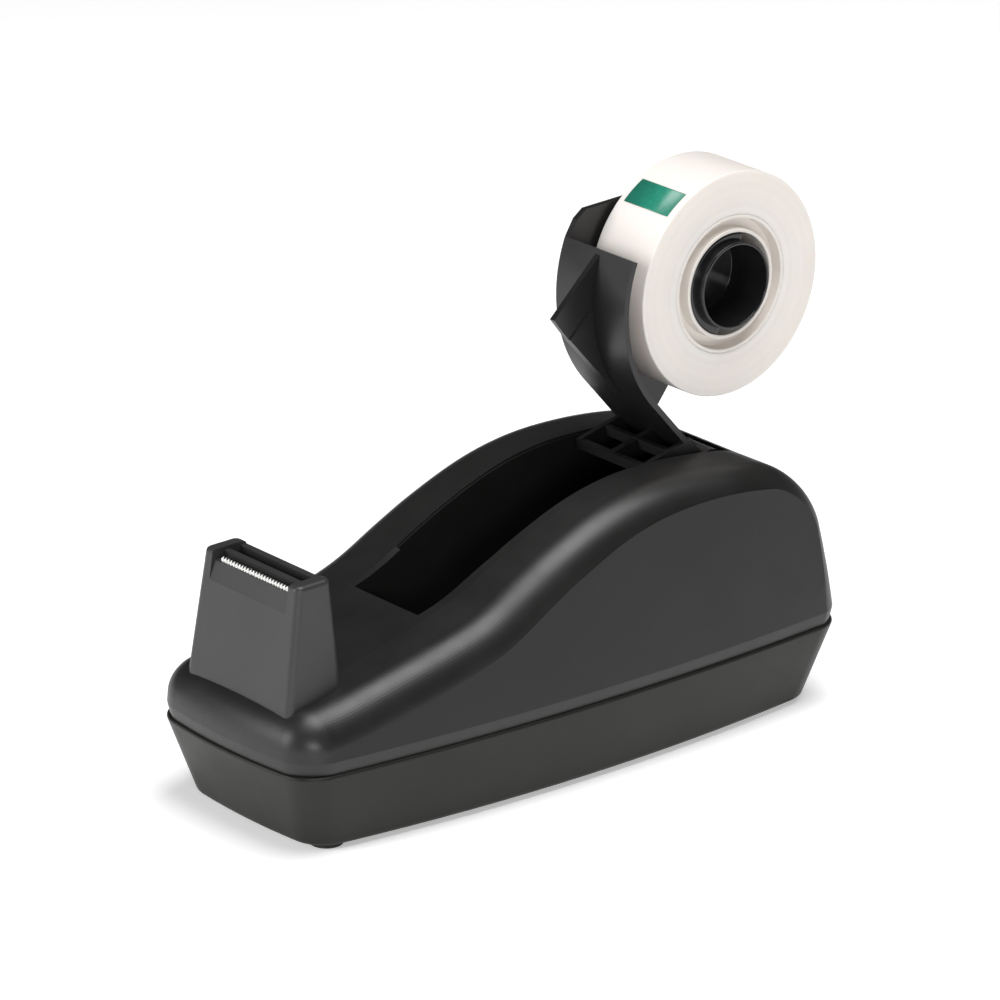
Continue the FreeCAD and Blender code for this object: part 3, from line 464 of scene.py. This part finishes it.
# crown across the top, a lift beside the well's front, and the blends at both ends
CROWN_DROP, CROWN_AT, CROWN_GAP = 2.8, 46.0, 0.3
LIFT, LIFT_X, LIFT_REACH, LIFT_FROM_Y, LIFT_FULL_Y = 1.5, -17.0, 10.0, 8.0, 13.0
FLAT_IN_MIDDLE, NOSE_END_X, NOSE_BLEND, RIM_BLEND = 14.0, -60.0, 16.0, 10.0
# side panel's proud edge, columns of the grid, ledge on the well's far rim, skirt and edges
PANEL_LIP, PANEL_LIP_FROM, PANEL_LIP_BLEND = 0.22, -40.0, 40.0
SHOULDER_COLUMNS, PANEL_COLUMNS, WELL_COLUMNS = 18, 16, 4
LEDGE, LEDGE_DEPTH = 0.45, 0.6
SKIRT = [(0.1, 23.7), (0.4, 22.3), (0.8, 20.96), (2.4, 20.96), (2.4, 24.3)]  # inward, height
RIM_BEVEL, SHARP_DEGREES = 0.3, 7.0


def casing_profile():
    """Fine samples (length, x, z, heading) along the top profile, and where the rear wall starts."""
    x, z, heading, run = FRONT_X, EDGE_Z, math.radians(90.0), 0.0
    rows = [(run, x, z, heading)]
    for kind, size, turn_to in TOP_PROFILE:
        turn = 0.0 if kind == "line" else math.radians(turn_to) - heading
        length = size if kind == "line" else size * abs(turn)
        count = max(2, int(length / PROFILE_STEP))
        for _ in range(count):
            middle = heading + turn / (2 * count)
            x += length / count * math.cos(middle)
            z += length / count * math.sin(middle)
            heading += turn / count
            run += length / count
            rows.append((run, x, z, heading))
    left = math.hypot(REAR_X - x, EDGE_Z - z)
    heading = math.atan2(EDGE_Z - z, REAR_X - x)
    for k in range(1, REAR_SAMPLES + 1):
        t = k / REAR_SAMPLES
        rows.append((run + left * t, x + (REAR_X - x) * t, z + (EDGE_Z - z) * t, heading))
    return np.array(rows), run


def row_lengths(rows, wall_start):
    """Where along the profile the skin has its rows; three of them lie on the well's corners."""
    length = rows[-1, 0]
    rear = wall_start - REAR_BAND
    lengths = np.concatenate([np.arange(0.0, FRONT_BAND, FRONT_STEP),
                              np.arange(FRONT_BAND, rear, MIDDLE_STEP),
                              np.arange(rear, length, REAR_STEP), [length]])
    for x in (WELL_FRONT_X, WELL_STEP_X, WELL_REAR_X):
        exact = np.interp(x, rows[:, 1], rows[:, 0])
        lengths[np.argmin(np.abs(lengths - exact))] = exact
    return lengths


def side_of(x, z):
    """Half width of the casing at (x, z)."""
    arc = SIDE_ARC - np.sqrt(SIDE_ARC ** 2 - (x - WIDEST_X) ** 2)
    return HALF_WIDTH - SIDE_DRAFT * (z - EDGE_Z) - arc


def ramp(value, start, reach):
    """0 before start, 1 past start + reach, straight between."""
    return np.clip((value - start) / reach, 0.0, 1.0)


def shoulder_turn(x):
    """How far the shoulder's arc turns at each row before it meets the side panel."""
    turn = np.radians(np.interp(x, SHOULDER_X, SHOULDER_DEGREES))
    window = 11
    return np.convolve(np.pad(turn, window // 2, mode="edge"), np.ones(window) / window, mode="valid")


def well_half(x, stepped):
    """Half width of the well: one side has a step, and the other widens evenly."""
    if stepped:
        return np.full_like(x, WELL_WIDE)
    return np.interp(x, [WELL_FRONT_X, WELL_TAPER_X], [WELL_NARROW, WELL_WIDE])


def casing_grid(stepped):
    """Half of the skin as rows along the profile and columns from the middle out, and the rows' x."""
    rows, wall_start = casing_profile()
    lengths = row_lengths(rows, wall_start)
    px, pz, heading = (np.interp(lengths, rows[:, 0], rows[:, k]) for k in (1, 2, 3))
    nx, nz = -np.sin(heading), np.cos(heading)

    turned_to = shoulder_turn(px)
    reach, depth = SHOULDER * np.sin(turned_to), SHOULDER * (1 - np.cos(turned_to))
    upright = ramp(np.degrees(np.abs(heading)), 30.0, 50.0)
    flatness = 1.0 - upright * upright * (3 - 2 * upright)
    hump = LIFT * np.exp(-((px - LIFT_X) / LIFT_REACH) ** 2)
    nose = ramp(-px, -NOSE_END_X, NOSE_BLEND)
    tail = ramp(lengths, wall_start, lengths[-1] - wall_start)
    above_rim = ramp(lengths[-1] - lengths, 0.0, RIM_BLEND)

    def crown(y):
        lift = hump * ramp(y, LIFT_FROM_Y, LIFT_FULL_Y - LIFT_FROM_Y)
        return flatness * np.maximum(CROWN_DROP * (y / CROWN_AT) ** 2 - CROWN_GAP, 0.0) - lift

    def place(y, inward):
        """Points at lateral distance y, lowered by the crown and moved inward from the profile."""
        flat = np.maximum(y * y - FLAT_IN_MIDDLE ** 2, 0.0)
        ahead = (nose * y * y + (1 - nose) * flat) / (2 * FRONT_ARC)
        behind = -y * y / (2 * REAR_ARC)
        shift = (1 - tail) * ahead + tail * behind
        return px + shift - inward * nx, y, pz - (inward * nz + crown(y)) * above_rim

    side = side_of(px, pz)
    for _ in range(8):
        x, _, z = place(side, depth)
        side = side_of(x, z)
    start = side - reach
    wide = well_half(px, stepped)
    columns = [place(y, 0.0) for y in (0.0 * wide, 0.3 * wide, 0.6 * wide,
                                       wide - (WELL_WIDE - WELL_NARROW), wide)]
    columns += [place(wide + (start - wide) * share, 0.0) for share in (0.25, 0.5, 0.75, 1.0)]
    for k in range(1, SHOULDER_COLUMNS + 1):
        angle = turned_to * k / SHOULDER_COLUMNS
        columns.append(place(start + SHOULDER * np.sin(angle), SHOULDER * (1 - np.cos(angle))))

    qx, _, qz = columns[-1]
    travel = np.concatenate([[0.0], np.cumsum(np.hypot(np.diff(qx), np.diff(qz)))])
    bx = qx[0] + (qx[-1] - qx[0]) * travel / travel[-1]
    proud = PANEL_LIP * ramp(px, PANEL_LIP_FROM, PANEL_LIP_BLEND) * above_rim
    for k in range(PANEL_COLUMNS + 1):
        t = k / PANEL_COLUMNS
        x, z = qx + (bx - qx) * t, qz + (EDGE_Z - qz) * t
        columns.append((x, side_of(x, z) + proud * (1 - t), z))
    return np.stack([np.stack(c, axis=-1) for c in columns], axis=1), px


def add_skin(shape):
    """The crowned skin with the well cut out, from the stepped far half and the even near half."""
    far, px = casing_grid(True)
    near, _ = casing_grid(False)
    grid = np.concatenate([near[:, :0:-1] * np.array([1.0, -1.0, 1.0]), far], axis=1)
    middle = far.shape[1] - 1
    verts = [[shape.verts.new([c / 1000.0 for c in point]) for point in row] for row in grid]
    for i in range(len(grid) - 1):
        x = (px[i] + px[i + 1]) / 2
        narrow = WELL_FRONT_X < x < WELL_STEP_X
        low, high = middle - WELL_COLUMNS, middle + WELL_COLUMNS - narrow
        for j in range(len(grid[i]) - 1):
            if not (WELL_FRONT_X < x < WELL_REAR_X and low <= j < high):
                shape.faces.new([verts[i][j], verts[i][j + 1], verts[i + 1][j + 1], verts[i + 1][j]])
    bmesh.ops.remove_doubles(shape, verts=shape.verts, dist=2e-6)
    bmesh.ops.dissolve_degenerate(shape, edges=shape.edges, dist=1e-6)
    bmesh.ops.delete(shape, geom=[v for v in shape.verts if not v.link_faces], context="VERTS")


def loop_of(edges):
    """The vertices of one closed chain of edges, in order."""
    first = edges[0].verts[0]
    ordered, used, here = [first], set(), first
    while True:
        step = next((e for e in here.link_edges if e in edges and e not in used), None)
        if step is None:
            break
        used.add(step)
        here = step.other_vert(here)
        if here is not first:
            ordered.append(here)
    return ordered


def outward(loop):
    """Level outward normal at each vertex of a closed loop about the origin."""
    normals = []
    for k, vert in enumerate(loop):
        along = loop[(k + 1) % len(loop)].co - loop[k - 1].co
        normal = Vector((along.y, -along.x, 0.0)).normalized()
        normals.append(normal if normal.dot(vert.co) > 0 else -normal)
    return normals


def add_rings(shape, loop, places, material=0):
    """Bands of faces from a loop through rings, each given by a function of a vertex and its normal."""
    normals, rings = outward(loop), [loop]
    start = [v.co.copy() for v in loop]
    for place in places:
        rings.append([shape.verts.new(place(co, n)) for co, n in zip(start, normals)])
    for first, second in zip(rings, rings[1:]):
        for face in join_rows(shape, first, second, len(loop)):
            face.material_index = material


def ledge(depth, share):
    """Ring below the well's rim, moved in along the wide part of its far side."""
    def place(co, _):
        far = co.y > (WELL_WIDE - 0.8) / 1000.0 and co.x > WELL_STEP_X / 1000.0
        return Vector((co.x, co.y - (share / 1000.0 if far else 0.0), co.z - depth / 1000.0))
    return place


def skirt(inward, height):
    """Ring inside the casing's lower edge."""
    return lambda co, normal: Vector((co.x, co.y, height / 1000.0)) - normal * (inward / 1000.0)


def make_casing():
    """Crowned skin, roll well and turned-in skirt, all one closed moulding seen from outside."""
    shape = bmesh.new()
    weight = shape.edges.layers.float.new("bevel_weight_edge")
    add_skin(shape)
    rims = [e for e in shape.edges if e.is_boundary]
    for rim in rims:
        rim[weight] = 1.0
    well_rim = [e for e in rims if all(abs(v.co.y) < (WELL_WIDE + 0.2) / 1000.0
                                       and v.co.z > WELL_SEARCH_Z / 1000.0 for v in e.verts)]
    skirt_rim = [e for e in rims if e not in well_rim]

    add_rings(shape, loop_of(well_rim), [ledge(LEDGE_DEPTH, 0.0), ledge(LEDGE_DEPTH, LEDGE),
                                         ledge(2 * LEDGE_DEPTH, LEDGE)])
    walls = loop_of([e for e in shape.edges if e.is_boundary and e[weight] == 0.0])
    # the well's walls and floor take the second slot, the near-black painted shade
    add_rings(shape, walls, [lambda co, _: Vector((co.x, co.y, WELL_LOW_Z / 1000.0))], 1)
    add_rings(shape, loop_of(skirt_rim), [skirt(*ring) for ring in SKIRT])
    bmesh.ops.recalc_face_normals(shape, faces=shape.faces)
    for edge in shape.edges:
        if len(edge.link_faces) == 2 and edge.calc_face_angle() > math.radians(SHARP_DEGREES):
            edge.smooth = False
    casing = finish_shape("casing_skin", shape)
    bevel = casing.modifiers.new("rims", "BEVEL")
    bevel.width, bevel.segments = RIM_BEVEL / 1000.0, 3
    bevel.limit_method = "WEIGHT"
    bevel.harden_normals = True
    dress(casing, "casing", "casing", "housing")
    # second slot: the painted shade for the well's walls and floor
    casing.data.materials.append(MATERIALS["shade"])


def soften(node, width, angle=32.0, flat_angle=0.5, segments=3):
    """Rounds the sharp edges of a carried-over CAD node with modifiers."""
    piece = NODES[node]
    flat = piece.modifiers.new("planar", "DECIMATE")
    flat.decimate_type = "DISSOLVE"
    flat.angle_limit = math.radians(flat_angle)
    bevel = piece.modifiers.new("edges", "BEVEL")
    bevel.width = width
    bevel.segments = segments
    bevel.limit_method = "ANGLE"
    bevel.angle_limit = math.radians(angle)
    bevel.use_clamp_overlap = True
    bevel.harden_normals = True


make_tape_and_core()
make_hub()
make_label()
make_blade()
make_casing()
for node_name, width in (("cutter_post", 0.00035), ("roll_arm", 0.0003), ("base_tray", 0.0002)):
    soften(node_name, width)

bpy.context.scene.view_settings.view_transform = "Standard"
add_camera()
add_floor()
add_world()
for light in LIGHTS:
    area_light(*light)
